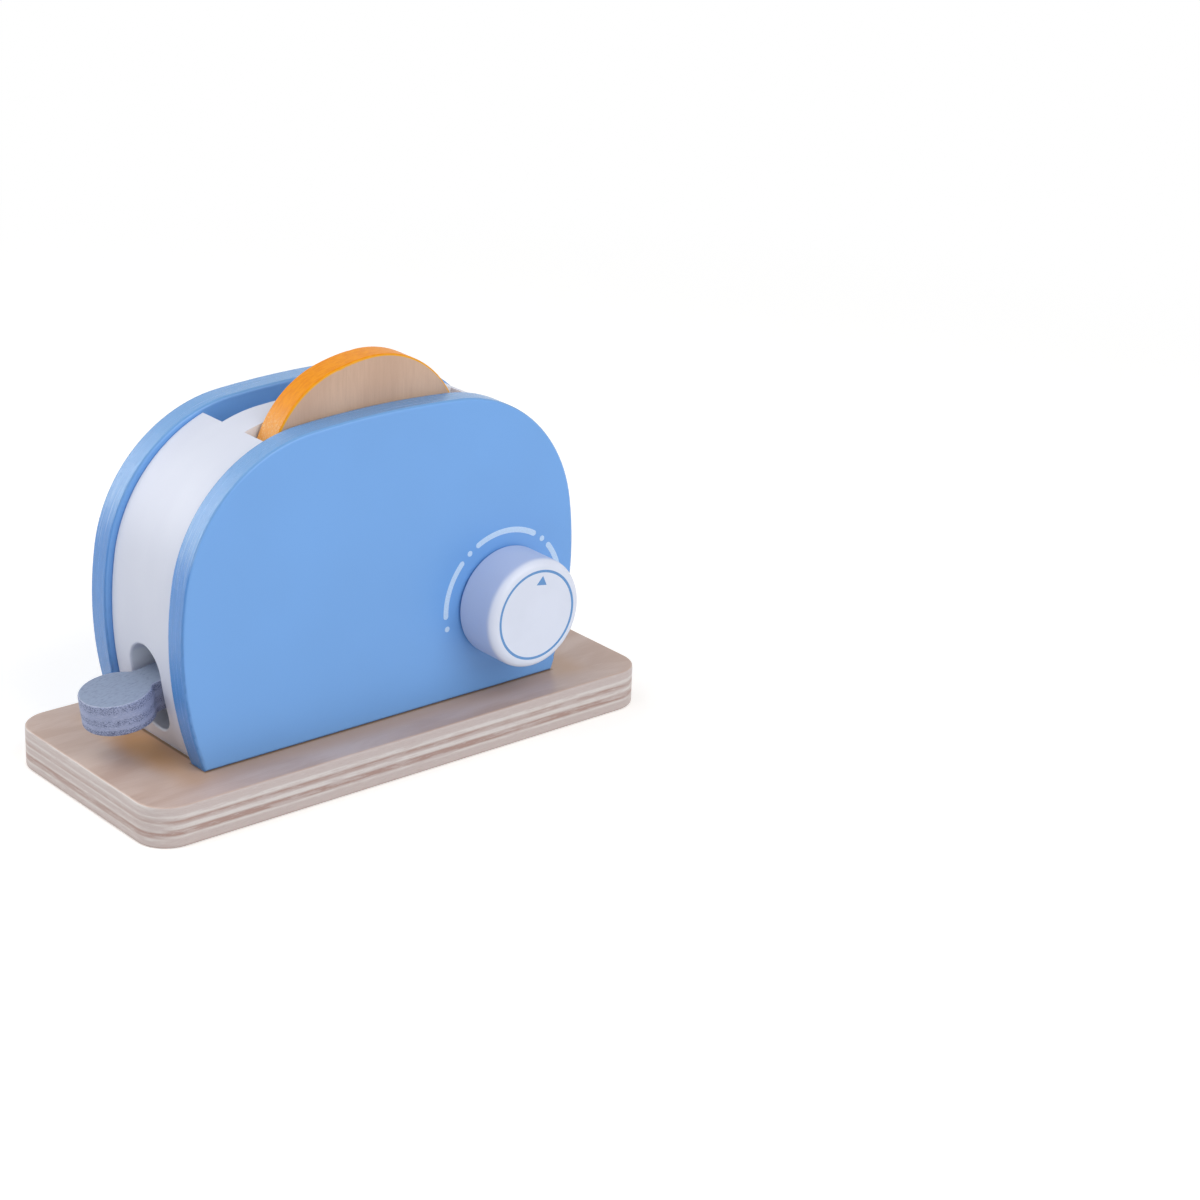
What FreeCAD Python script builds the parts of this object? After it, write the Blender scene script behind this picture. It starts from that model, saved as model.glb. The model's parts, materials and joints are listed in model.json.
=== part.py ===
import FreeCAD, Part
import math
import os

# Wooden pretend-play toaster: a plywood base board carries two round-shouldered side
# panels with two end blocks and a divider between them, which leave two bread slots.
# A see-saw lever comes out of the left end block. Its inner end lifts a cross dowel
# that runs in grooves of the panels, and a wooden slice of toast stands on that dowel.
# A browning knob turns on the front panel.
#
# Millimetres. Origin: middle of the base board's underside. X runs along the board,
# the front (knob side) faces -Y, and Z is up.

# Base board
BASE_LENGTH = 220.0
BASE_DEPTH = 96.0
BASE_THICKNESS = 15.5
BASE_CORNER_RADIUS = 12.5
BASE_EDGE_RADIUS = 0.9

# Side view that both panels share, built of arcs that run into each other
PANEL_HALF_WIDTH = 86.5
WAIST_HEIGHT = 62.4
PANEL_TOP = 133.3
SIDE_RADIUS = 134.0
SHOULDER_RADIUS = 57.5
CROWN_RADIUS = 400.0
PANEL_THICKNESS = 10.0
BODY_HALF_DEPTH = 30.0
PANEL_EDGE_RADIUS = 1.2

# End blocks and divider, set back a little from the panels' edge
CORE_HALF_WIDTH = 84.2
CORE_TOP = 132.3
CORE_EDGE_RADIUS = 1.0
SLOT_HALF_LENGTH = 45.2
DIVIDER_HALF_THICKNESS = 6.9
DIVIDER_BOTTOM = 76.0

# Opening for the lever in the left end block: upright, with round ends
LEVER_HOLE_RADIUS = 9.5
LEVER_HOLE_LOW_CENTRE = 31.1
LEVER_HOLE_HIGH_CENTRE = 45.4
LEVER_HOLE_LIP_RADIUS = 0.8

# Lever, drawn level and then tilted about its pivot
PIVOT_X = -56.0
PIVOT_Z = 41.0
LEVER_TILT = 8.4
LEVER_THICKNESS = 11.8
LEVER_HALF_WIDTH = 6.75
LEVER_HEAD_RADIUS = 13.1
LEVER_HEAD_DISTANCE = 39.2
LEVER_INNER_REACH = 67.0
LEVER_INNER_CORNER = 4.0
LEVER_NECK_BLEND = 3.0
LEVER_EDGE_RADIUS = 0.8
LEVER_PLAY = 0.06
LEVER_DOWN_TRAVEL = 12.0
LEVER_UP_TRAVEL = 17.4

# Washers that keep the lever in the middle of its opening
LEVER_WASHER_RADIUS = 5.0
LEVER_WASHER_THICKNESS = 2.4
LEVER_WASHER_INNER_FACE = LEVER_HALF_WIDTH + 0.1

# Cross dowel that the lever lifts, and the ratio of its travel to the lever's turn
DOWEL_RADIUS = 3.0
LIFT_DOWEL_HALF_LENGTH = 23.0
LIFT_DOWEL_END_RADIUS = 0.6
LIFT_SLOT_HALF_HEIGHT = 3.6
LIFT_SLOT_DROP = 0.2
LIFT_SLOT_END_PLAY = 0.3
LIFT_PER_RADIAN = 58.0
GROOVE_PLAY = 0.3
GROOVE_END_PLAY = 0.8

# Glue dowels between panels and end blocks, and between end blocks and divider
PANEL_DOWEL_PLACES = ((64.0, 28.0), (64.0, 72.0), (58.0, 108.0))
PANEL_DOWEL_IN_PANEL = 6.0
PANEL_DOWEL_IN_BLOCK = 8.0
DIVIDER_DOWEL_HEIGHTS = (88.0, 116.0)
DIVIDER_DOWEL_HALF_LENGTH = 12.0

# Countersunk screws through the base board into the end blocks
SCREW_X = 54.0
SCREW_Y = 14.6
SCREW_RADIUS = 2.0
SCREW_TIP_Z = 31.0
SCREW_POINT_LENGTH = 4.0
SCREW_HEAD_RADIUS = 4.0
SCREW_HEAD_BOTTOM = 0.6
SCREW_HEAD_HEIGHT = 2.4
SCREW_CLEARANCE = 0.2
RECESS_LENGTH = 5.0
RECESS_WIDTH = 1.1
RECESS_DEPTH = 1.3

# Browning knob with its shaft, washers and screw
KNOB_X = 53.5
KNOB_Z = 50.4
KNOB_RADIUS = 21.1
KNOB_LENGTH = 19.0
KNOB_GAP = 0.7
KNOB_FRONT_ROUNDING = 3.6
KNOB_BACK_ROUNDING = 0.8
KNOB_WASHER_RADIUS = 15.0
SHAFT_RADIUS = 4.0
SHAFT_PLAY = 0.06
SHAFT_IN_KNOB = 12.0
FACE_PLAY = 0.1
RETAINER_RADIUS = 5.8
RETAINER_THICKNESS = 1.5
KNOB_SCREW_RADIUS = 1.5
KNOB_SCREW_LENGTH = 12.0
KNOB_SCREW_HEAD_RADIUS = 3.2
KNOB_SCREW_HEAD_HEIGHT = 2.0
KNOB_SCREW_RECESS = 0.9
POCKET_RADIUS = 6.5
POCKET_DEPTH = 5.6

# Slice of toast, drawn upright and then tilted in its slot about the cross dowel
SLICE_THICKNESS = 11.0
SLICE_Y = -13.4
SLICE_GAP = 0.1
SLICE_TILT = 9.6
SLICE_SHIFT = 8.8
SLICE_HEIGHT = 97.5
SLICE_HALF_WIDTH = 42.2
SLICE_DOME_HEIGHT = 38.7
SLICE_CROWN_RADIUS = 70.0
SLICE_LOBE_HEIGHT = 49.4
SLICE_WAIST_HALF_WIDTH = 34.8
SLICE_BOTTOM_HALF_WIDTH = 35.3
SLICE_CORNER_RADIUS = 1.6
SLICE_EDGE_RADIUS = 0.9

Y_AXIS = FreeCAD.Vector(0, 1, 0)
Z_AXIS = FreeCAD.Vector(0, 0, 1)
PANEL_INNER_FACE = BODY_HALF_DEPTH - PANEL_THICKNESS
PIVOT = FreeCAD.Vector(PIVOT_X, 0, PIVOT_Z)
SIDES = (-1, 1)


# ---------------------------------------------------------------- shared helpers

def save(name, shape):
    """Write one node, and stop if its shape is not sound."""
    if not shape.isValid():
        raise ValueError(name + " is not a valid shape")
    shape.exportStep(os.path.join("parts", name + ".step"))


def box(low, high):
    """Block between two opposite corners."""
    size = FreeCAD.Vector(*high) - FreeCAD.Vector(*low)
    return Part.makeBox(size.x, size.y, size.z, FreeCAD.Vector(*low))


def rod(radius, start, end):
    """Cylinder from one point to another."""
    start = FreeCAD.Vector(*start)
    along = FreeCAD.Vector(*end) - start
    return Part.makeCylinder(radius, along.Length, start, along)


def ring(outer, inner, start, end):
    """Flat washer or tube from one point to another."""
    return rod(outer, start, end).cut(rod(inner, start, end))


def arc_edge(centre, radius, first, last, depth=0.0):
    """Arc in a plane across Y, with angles in radians from +X towards +Z."""
    points = []
    for angle in (first, (first + last) / 2, last):
        x = centre[0] + radius * math.cos(angle)
        z = centre[1] + radius * math.sin(angle)
        points.append(FreeCAD.Vector(x, depth, z))
    return Part.Arc(*points).toShape()


def close_wire(edges):
    """Join edges that meet end to end, and add the straight edge that closes them."""
    first = edges[0].valueAt(edges[0].FirstParameter)
    last = edges[-1].valueAt(edges[-1].LastParameter)
    return Part.Wire(edges + [Part.makeLine(last, first)])


def prism_y(wire, start, end):
    """Solid between two depths, from a flat wire that lies at Y = 0."""
    face = Part.Face(wire)
    face.translate(Y_AXIS * start)
    return face.extrude(Y_AXIS * (end - start))


def slot_prism(low_centre, high_centre, radius, start, end):
    """Upright round-ended slot that runs along X."""
    body = box((start, -radius, low_centre), (end, radius, high_centre))
    low = rod(radius, (start, 0, low_centre), (end, 0, low_centre))
    high = rod(radius, (start, 0, high_centre), (end, 0, high_centre))
    return body.fuse([low, high]).removeSplitter()


def edges_where(shape, test):
    """Edges whose bounding box passes a test."""
    return [edge for edge in shape.Edges if test(edge.BoundBox)]


def is_across_y(bounds, depth):
    """True for an edge that lies in the plane Y = depth."""
    return abs(bounds.YMin - depth) < 1e-4 and abs(bounds.YMax - depth) < 1e-4


def is_across_z(bounds, height):
    """True for an edge that lies in the plane Z = height."""
    return abs(bounds.ZMin - height) < 1e-4 and abs(bounds.ZMax - height) < 1e-4


# ---------------------------------------------------------------- base board

def screw_places():
    """Where the four base screws stand."""
    return [(side * SCREW_X, row * SCREW_Y) for side in SIDES for row in SIDES]


def countersink(x, y, radius_play=0.0):
    """Tapered seat or head of a base screw."""
    return Part.makeCone(
        SCREW_HEAD_RADIUS, SCREW_RADIUS + radius_play, SCREW_HEAD_HEIGHT,
        FreeCAD.Vector(x, y, SCREW_HEAD_BOTTOM), Z_AXIS)


def base_board():
    """Plywood board with round corners, eased edges and four countersunk holes."""
    half_length = BASE_LENGTH / 2
    half_depth = BASE_DEPTH / 2
    board = box((-half_length, -half_depth, 0), (half_length, half_depth, BASE_THICKNESS))
    corners = edges_where(board, lambda b: b.ZLength > BASE_THICKNESS / 2)
    board = board.makeFillet(BASE_CORNER_RADIUS, corners)
    rims = edges_where(board, lambda b: is_across_z(b, 0) or is_across_z(b, BASE_THICKNESS))
    board = board.makeFillet(BASE_EDGE_RADIUS, rims)
    for x, y in screw_places():
        board = board.cut(rod(SCREW_RADIUS + SCREW_CLEARANCE, (x, y, 0), (x, y, BASE_THICKNESS)))
        board = board.cut(rod(SCREW_HEAD_RADIUS, (x, y, 0), (x, y, SCREW_HEAD_BOTTOM)))
        board = board.cut(countersink(x, y))
    return board


def base_screws():
    """Four countersunk wood screws with a cross recess."""
    screws = []
    for x, y in screw_places():
        point_z = SCREW_TIP_Z - SCREW_POINT_LENGTH
        shank = rod(SCREW_RADIUS, (x, y, SCREW_HEAD_BOTTOM + SCREW_HEAD_HEIGHT), (x, y, point_z))
        point = Part.makeCone(
            SCREW_RADIUS, SCREW_RADIUS / 4, SCREW_POINT_LENGTH, FreeCAD.Vector(x, y, point_z), Z_AXIS)
        screw = countersink(x, y).fuse([shank, point]).removeSplitter()
        for long_x, long_y in ((RECESS_LENGTH, RECESS_WIDTH), (RECESS_WIDTH, RECESS_LENGTH)):
            screw = screw.cut(box(
                (x - long_x / 2, y - long_y / 2, 0),
                (x + long_x / 2, y + long_y / 2, SCREW_HEAD_BOTTOM + RECESS_DEPTH)))
        screws.append(screw)
    return Part.makeCompound(screws)


# ---------------------------------------------------------------- panels and blocks

def shoulder_centre(side_centre, crown_centre):
    """Centre of the shoulder arc, which runs into the side arc and the crown arc."""
    from_side = SIDE_RADIUS - SHOULDER_RADIUS
    from_crown = CROWN_RADIUS - SHOULDER_RADIUS
    across = crown_centre[0] - side_centre[0]
    up = crown_centre[1] - side_centre[1]
    apart = math.hypot(across, up)
    along = (from_side ** 2 - from_crown ** 2 + apart ** 2) / (2 * apart)
    off = math.sqrt(from_side ** 2 - along ** 2)
    x = side_centre[0] + (along * across - off * up) / apart
    z = side_centre[1] + (along * up + off * across) / apart
    return x, z


def body_outline(half_width, top):
    """Side view: side arc, shoulder arc and crown, mirrored, closed along the base board."""
    side = (half_width - SIDE_RADIUS, WAIST_HEIGHT)
    crown = (0.0, top - CROWN_RADIUS)
    shoulder = shoulder_centre(side, crown)
    bottom = math.asin((BASE_THICKNESS - WAIST_HEIGHT) / SIDE_RADIUS)
    to_shoulder = math.atan2(shoulder[1] - side[1], shoulder[0] - side[0])
    to_crown = math.atan2(shoulder[1] - crown[1], shoulder[0] - crown[0])
    left_side = (-side[0], side[1])
    left_shoulder = (-shoulder[0], shoulder[1])
    return close_wire([
        arc_edge(side, SIDE_RADIUS, bottom, to_shoulder),
        arc_edge(shoulder, SHOULDER_RADIUS, to_shoulder, to_crown),
        arc_edge(crown, CROWN_RADIUS, to_crown, math.pi - to_crown),
        arc_edge(left_shoulder, SHOULDER_RADIUS, math.pi - to_crown, math.pi - to_shoulder),
        arc_edge(left_side, SIDE_RADIUS, math.pi - to_shoulder, math.pi - bottom)])


def panel_dowel_rods(side, ends=SIDES):
    """Glue dowels of one panel, in the end blocks that are asked for."""
    outer = side * (PANEL_INNER_FACE + PANEL_DOWEL_IN_PANEL)
    inner = side * (PANEL_INNER_FACE - PANEL_DOWEL_IN_BLOCK)
    return [
        rod(DOWEL_RADIUS, (end * x, outer, z), (end * x, inner, z))
        for end in ends for x, z in PANEL_DOWEL_PLACES]


def lift_rest_height():
    """Height of the cross dowel's centre with the lever as drawn."""
    return PIVOT_Z - PIVOT_X * math.tan(math.radians(LEVER_TILT))


def lift_groove(side):
    """Upright groove in a panel's inner face, as long as the cross dowel's travel."""
    reach = DOWEL_RADIUS + GROOVE_PLAY
    low = lift_rest_height() - LIFT_PER_RADIAN * math.radians(LEVER_UP_TRAVEL)
    high = lift_rest_height() + LIFT_PER_RADIAN * math.radians(LEVER_DOWN_TRAVEL)
    depths = sorted((side * PANEL_INNER_FACE, side * (LIFT_DOWEL_HALF_LENGTH + GROOVE_PLAY)))
    return box(
        (-reach, depths[0], low - reach - GROOVE_END_PLAY),
        (reach, depths[1], high + reach + GROOVE_END_PLAY))


def side_panel(side):
    """Plywood side panel with eased edges, dowel holes and the groove for the lifter."""
    faces = sorted((side * PANEL_INNER_FACE, side * BODY_HALF_DEPTH))
    panel = prism_y(body_outline(PANEL_HALF_WIDTH, PANEL_TOP), *faces)
    rims = edges_where(panel, lambda b: is_across_y(b, faces[0]) or is_across_y(b, faces[1]))
    panel = panel.makeFillet(PANEL_EDGE_RADIUS, rims)
    return panel.cut(panel_dowel_rods(side) + [lift_groove(side)])


def front_panel():
    """Front panel, with the hole that the knob's shaft turns in."""
    hole = rod(
        SHAFT_RADIUS + SHAFT_PLAY,
        (KNOB_X, -BODY_HALF_DEPTH, KNOB_Z), (KNOB_X, -PANEL_INNER_FACE, KNOB_Z))
    return side_panel(-1).cut(hole)


def divider_dowel_rods(end):
    """Glue dowels between the divider and one end block."""
    middle = end * SLOT_HALF_LENGTH
    return [
        rod(DOWEL_RADIUS, (middle - DIVIDER_DOWEL_HALF_LENGTH, 0, z),
            (middle + DIVIDER_DOWEL_HALF_LENGTH, 0, z))
        for z in DIVIDER_DOWEL_HEIGHTS]


def end_block(end):
    """Solid end of the body, shaped like the panels and cut off square at the slots."""
    core = prism_y(body_outline(CORE_HALF_WIDTH, CORE_TOP), -PANEL_INNER_FACE, PANEL_INNER_FACE)
    spans = sorted((end * SLOT_HALF_LENGTH, end * BASE_LENGTH))
    block = core.common(box((spans[0], -BASE_DEPTH, 0), (spans[1], BASE_DEPTH, BASE_LENGTH)))
    rims = edges_where(block, lambda b: (
        (is_across_y(b, -PANEL_INNER_FACE) or is_across_y(b, PANEL_INNER_FACE))
        and b.XLength > 1e-3 and b.ZLength > 1e-3))
    block = block.makeFillet(CORE_EDGE_RADIUS, rims)
    dowels = divider_dowel_rods(end)
    for side in SIDES:
        dowels += panel_dowel_rods(side, (end,))
    for x, y in screw_places():
        if x * end > 0:
            dowels.append(rod(SCREW_RADIUS, (x, y, BASE_THICKNESS), (x, y, SCREW_TIP_Z)))
    return block.cut(dowels)


def left_end_block():
    """Left end block, with the lever's opening and the axle's hole."""
    block = end_block(-1)
    opening = slot_prism(
        LEVER_HOLE_LOW_CENTRE, LEVER_HOLE_HIGH_CENTRE, LEVER_HOLE_RADIUS,
        -BASE_LENGTH / 2, -SLOT_HALF_LENGTH)
    block = block.cut(opening)
    lip = edges_where(block, lambda b: (
        b.XMax < -SLOT_HALF_LENGTH - BODY_HALF_DEPTH and b.YLength > 1e-3
        and b.ZMin > LEVER_HOLE_LOW_CENTRE - LEVER_HOLE_RADIUS - 1
        and b.ZMax < LEVER_HOLE_HIGH_CENTRE + LEVER_HOLE_RADIUS + 1))
    lip += edges_where(block, lambda b: (
        b.XMax < -SLOT_HALF_LENGTH - BODY_HALF_DEPTH and b.YLength < 1e-3
        and abs(abs(b.YMin) - LEVER_HOLE_RADIUS) < 1e-3 and b.XLength < 5))
    block = block.makeFillet(LEVER_HOLE_LIP_RADIUS, lip)
    return block.cut(lever_axle())


def right_end_block():
    """Right end block, with the pocket for the end of the knob's shaft."""
    pocket = rod(
        POCKET_RADIUS, (KNOB_X, -PANEL_INNER_FACE, KNOB_Z),
        (KNOB_X, POCKET_DEPTH - PANEL_INNER_FACE, KNOB_Z))
    return end_block(1).cut(pocket)


def slot_divider():
    """Bar between the two bread slots, flush with the tops of the end blocks."""
    core = prism_y(
        body_outline(CORE_HALF_WIDTH, CORE_TOP), -DIVIDER_HALF_THICKNESS, DIVIDER_HALF_THICKNESS)
    divider = core.common(box(
        (-SLOT_HALF_LENGTH, -BASE_DEPTH, DIVIDER_BOTTOM), (SLOT_HALF_LENGTH, BASE_DEPTH, BASE_LENGTH)))
    return divider.cut(divider_dowel_rods(-1) + divider_dowel_rods(1))


# ---------------------------------------------------------------- lever and lifter

def lever_axle():
    """Dowel across the left end block that the lever rocks on."""
    return rod(
        DOWEL_RADIUS, (PIVOT_X, -PANEL_INNER_FACE, PIVOT_Z), (PIVOT_X, PANEL_INNER_FACE, PIVOT_Z))


def lever_washers():
    """A washer on the axle at each side of the lever."""
    washers = []
    for side in SIDES:
        near = (PIVOT_X, side * LEVER_WASHER_INNER_FACE, PIVOT_Z)
        far = (PIVOT_X, side * (LEVER_WASHER_INNER_FACE + LEVER_WASHER_THICKNESS), PIVOT_Z)
        washers.append(ring(LEVER_WASHER_RADIUS, DOWEL_RADIUS, near, far))
    return Part.makeCompound(washers)


def lift_slot():
    """Long hole across the level lever, as long as the cross dowel wanders along it."""
    tilts = [math.radians(LEVER_TILT + turn) for turn in (LEVER_DOWN_TRAVEL, -LEVER_UP_TRAVEL)]
    near = -PIVOT_X - LIFT_SLOT_END_PLAY
    far = max(-PIVOT_X / math.cos(tilt) for tilt in tilts) + LIFT_SLOT_END_PLAY
    width = LEVER_HALF_WIDTH + 1
    body = box(
        (near, -width, -LIFT_SLOT_DROP - LIFT_SLOT_HALF_HEIGHT),
        (far, width, -LIFT_SLOT_DROP + LIFT_SLOT_HALF_HEIGHT))
    ends = [
        rod(LIFT_SLOT_HALF_HEIGHT, (x, -width, -LIFT_SLOT_DROP), (x, width, -LIFT_SLOT_DROP))
        for x in (near, far)]
    return body.fuse(ends).removeSplitter()


def lever():
    """See-saw lever with a round thumb rest outside and a long hole at its inner end."""
    half = LEVER_THICKNESS / 2
    bar = box((-LEVER_HEAD_DISTANCE, -LEVER_HALF_WIDTH, -half), (LEVER_INNER_REACH, LEVER_HALF_WIDTH, half))
    corners = edges_where(bar, lambda b: b.XMin > 0 and b.ZLength > half)
    bar = bar.makeFillet(LEVER_INNER_CORNER, corners)
    head = rod(LEVER_HEAD_RADIUS, (-LEVER_HEAD_DISTANCE, 0, -half), (-LEVER_HEAD_DISTANCE, 0, half))
    shape = bar.fuse(head).removeSplitter()
    joins = edges_where(shape, lambda b: (
        b.ZLength > half and b.XLength < 1e-3 and -LEVER_HEAD_DISTANCE < b.XMin < 0))
    shape = shape.makeFillet(LEVER_NECK_BLEND, joins)
    rims = edges_where(shape, lambda b: is_across_z(b, -half) or is_across_z(b, half))
    shape = shape.makeFillet(LEVER_EDGE_RADIUS, rims)
    bore = rod(DOWEL_RADIUS + LEVER_PLAY, (0, -BASE_DEPTH, 0), (0, BASE_DEPTH, 0))
    shape = shape.cut([bore, lift_slot()])
    shape.translate(PIVOT)
    shape.rotate(PIVOT, -Y_AXIS, LEVER_TILT)
    return shape


def lift_dowel():
    """Cross dowel that both slices stand on, with eased ends."""
    height = lift_rest_height()
    dowel = rod(DOWEL_RADIUS, (0, -LIFT_DOWEL_HALF_LENGTH, height), (0, LIFT_DOWEL_HALF_LENGTH, height))
    rims = edges_where(dowel, lambda b: b.YLength < 1e-3)
    return dowel.makeFillet(LIFT_DOWEL_END_RADIUS, rims)


# ---------------------------------------------------------------- knob

def knob_ring(outer, inner, start, end):
    """Ring or disc on the knob's axis, between two depths."""
    near = (KNOB_X, start, KNOB_Z)
    far = (KNOB_X, end, KNOB_Z)
    if inner > 0:
        return ring(outer, inner, near, far)
    return rod(outer, near, far)


def knob_parts():
    """Knob, shaft, washers and screw, from the front to the back."""
    back = -BODY_HALF_DEPTH - KNOB_GAP
    front = back - KNOB_LENGTH
    shaft_front = back - SHAFT_IN_KNOB
    shaft_back = -PANEL_INNER_FACE + FACE_PLAY
    retainer_back = shaft_back + RETAINER_THICKNESS
    screw_tip = retainer_back - KNOB_SCREW_LENGTH
    screw_back = retainer_back + KNOB_SCREW_HEAD_HEIGHT

    knob = knob_ring(KNOB_RADIUS, 0, front, back)
    knob = knob.makeFillet(KNOB_FRONT_ROUNDING, edges_where(knob, lambda b: is_across_y(b, front)))
    knob = knob.makeFillet(KNOB_BACK_ROUNDING, edges_where(knob, lambda b: is_across_y(b, back)))
    knob = knob.cut(knob_ring(SHAFT_RADIUS, 0, shaft_front, back))
    shaft = knob_ring(SHAFT_RADIUS, 0, shaft_front, shaft_back)
    shaft = shaft.cut(knob_ring(KNOB_SCREW_RADIUS, 0, screw_tip, shaft_back))
    washer = knob_ring(KNOB_WASHER_RADIUS, SHAFT_RADIUS, back, -BODY_HALF_DEPTH - FACE_PLAY)
    retainer = knob_ring(RETAINER_RADIUS, KNOB_SCREW_RADIUS, shaft_back, retainer_back)
    screw = knob_ring(KNOB_SCREW_RADIUS, 0, screw_tip, retainer_back)
    screw = screw.fuse(knob_ring(KNOB_SCREW_HEAD_RADIUS, 0, retainer_back, screw_back)).removeSplitter()
    half_recess = KNOB_SCREW_HEAD_RADIUS - 1
    for long_x, long_z in ((half_recess, RECESS_WIDTH / 2), (RECESS_WIDTH / 2, half_recess)):
        screw = screw.cut(box(
            (KNOB_X - long_x, screw_back - KNOB_SCREW_RECESS, KNOB_Z - long_z),
            (KNOB_X + long_x, screw_back, KNOB_Z + long_z)))
    return {
        "knob": knob, "knob_shaft": shaft, "knob_washer": washer,
        "knob_retainer": retainer, "knob_screw": screw}


# ---------------------------------------------------------------- toast

def slice_outline():
    """Slice seen from the front: flat-crowned dome, round lobes, and sides that flare to the bottom."""
    bottom = lift_rest_height() + DOWEL_RADIUS + SLICE_GAP
    lobe_z = bottom + SLICE_LOBE_HEIGHT
    dome_z = bottom + SLICE_HEIGHT - SLICE_DOME_HEIGHT
    lobe_radius = SLICE_HALF_WIDTH - SLICE_WAIST_HALF_WIDTH
    shoulder_radius = (
        (SLICE_HALF_WIDTH ** 2 + SLICE_DOME_HEIGHT ** 2 - 2 * SLICE_DOME_HEIGHT * SLICE_CROWN_RADIUS)
        / (2 * (SLICE_HALF_WIDTH - SLICE_CROWN_RADIUS)))
    shoulder_x = SLICE_HALF_WIDTH - shoulder_radius
    crown_z = bottom + SLICE_HEIGHT - SLICE_CROWN_RADIUS
    to_crown = math.atan2(dome_z - crown_z, shoulder_x)

    def line(x_from, z_from, x_to, z_to):
        return Part.makeLine(FreeCAD.Vector(x_from, 0, z_from), FreeCAD.Vector(x_to, 0, z_to))

    waist_z = lobe_z - lobe_radius
    return close_wire([
        line(SLICE_BOTTOM_HALF_WIDTH, bottom, SLICE_WAIST_HALF_WIDTH, waist_z),
        arc_edge((SLICE_WAIST_HALF_WIDTH, lobe_z), lobe_radius, -math.pi / 2, 0),
        line(SLICE_HALF_WIDTH, lobe_z, SLICE_HALF_WIDTH, dome_z),
        arc_edge((shoulder_x, dome_z), shoulder_radius, 0, to_crown),
        arc_edge((0, crown_z), SLICE_CROWN_RADIUS, to_crown, math.pi - to_crown),
        arc_edge((-shoulder_x, dome_z), shoulder_radius, math.pi - to_crown, math.pi),
        line(-SLICE_HALF_WIDTH, dome_z, -SLICE_HALF_WIDTH, lobe_z),
        arc_edge((-SLICE_WAIST_HALF_WIDTH, lobe_z), lobe_radius, math.pi, 1.5 * math.pi),
        line(-SLICE_WAIST_HALF_WIDTH, waist_z, -SLICE_BOTTOM_HALF_WIDTH, bottom)])


def toast_slice():
    """Plywood slice of toast, standing aslant on the cross dowel in the front slot."""
    front = SLICE_Y - SLICE_THICKNESS / 2
    back = SLICE_Y + SLICE_THICKNESS / 2
    shape = prism_y(slice_outline(), front, back)
    bottom = shape.BoundBox.ZMin
    feet = edges_where(shape, lambda b: (
        b.YLength > SLICE_THICKNESS / 2 and b.ZMax < bottom + 1))
    shape = shape.makeFillet(SLICE_CORNER_RADIUS, feet)
    rims = edges_where(shape, lambda b: is_across_y(b, front) or is_across_y(b, back))
    shape = shape.makeFillet(SLICE_EDGE_RADIUS, rims)
    shape.translate(FreeCAD.Vector(SLICE_SHIFT, 0, 0))
    shape.rotate(FreeCAD.Vector(0, 0, lift_rest_height()), Y_AXIS, -SLICE_TILT)
    return shape


# ---------------------------------------------------------------- whole toy

def main():
    """Build every node and write it to its own file."""
    os.makedirs("parts", exist_ok=True)
    nodes = {
        "base_board": base_board(),
        "base_screws": base_screws(),
        "front_panel": front_panel(),
        "back_panel": side_panel(1),
        "left_end_block": left_end_block(),
        "right_end_block": right_end_block(),
        "slot_divider": slot_divider(),
        "divider_dowels": Part.makeCompound(divider_dowel_rods(-1) + divider_dowel_rods(1)),
        "front_panel_dowels": Part.makeCompound(panel_dowel_rods(-1)),
        "back_panel_dowels": Part.makeCompound(panel_dowel_rods(1)),
        "lever_axle": lever_axle(),
        "lever_washers": lever_washers(),
        "lever": lever(),
        "lift_dowel": lift_dowel(),
        "toast_slice": toast_slice()}
    nodes.update(knob_parts())
    for name, shape in nodes.items():
        save(name, shape)


main()
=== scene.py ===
import json
import math

import bmesh
import bpy
from mathutils import Matrix, Vector


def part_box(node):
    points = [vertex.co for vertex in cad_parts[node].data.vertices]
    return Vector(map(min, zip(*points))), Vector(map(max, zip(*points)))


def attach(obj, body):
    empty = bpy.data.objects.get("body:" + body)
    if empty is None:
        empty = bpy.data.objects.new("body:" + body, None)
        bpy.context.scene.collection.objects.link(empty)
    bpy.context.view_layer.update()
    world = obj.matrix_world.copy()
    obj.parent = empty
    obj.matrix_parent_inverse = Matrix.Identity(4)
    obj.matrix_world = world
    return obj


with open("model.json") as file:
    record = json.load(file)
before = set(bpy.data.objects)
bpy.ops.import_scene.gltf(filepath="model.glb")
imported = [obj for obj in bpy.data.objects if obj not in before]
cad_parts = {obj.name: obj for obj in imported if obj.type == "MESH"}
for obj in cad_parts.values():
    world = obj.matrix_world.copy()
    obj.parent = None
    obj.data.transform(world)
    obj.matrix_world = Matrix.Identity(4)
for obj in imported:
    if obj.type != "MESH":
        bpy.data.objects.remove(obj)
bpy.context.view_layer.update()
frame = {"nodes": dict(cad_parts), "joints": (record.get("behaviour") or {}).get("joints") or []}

bl_info = {
    "name": "Wooden toy toaster",
    "version": (1, 0, 0),
    "blender": (4, 5, 0),
    "location": "View3D > Sidebar > Toaster",
    "description": "Finishes a wooden toy toaster: paint, plywood, printed marks and a plain studio",
    "category": "Object",
}

MM = 0.001


# ------------------------------------------------------------------ measures from the frame

def joint(name):
    """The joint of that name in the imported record."""
    return next(j for j in frame["joints"] if j["name"] == name)


def in_mm(point):
    """A point of the frame, in millimetres."""
    return [value / MM for value in point]


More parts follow.
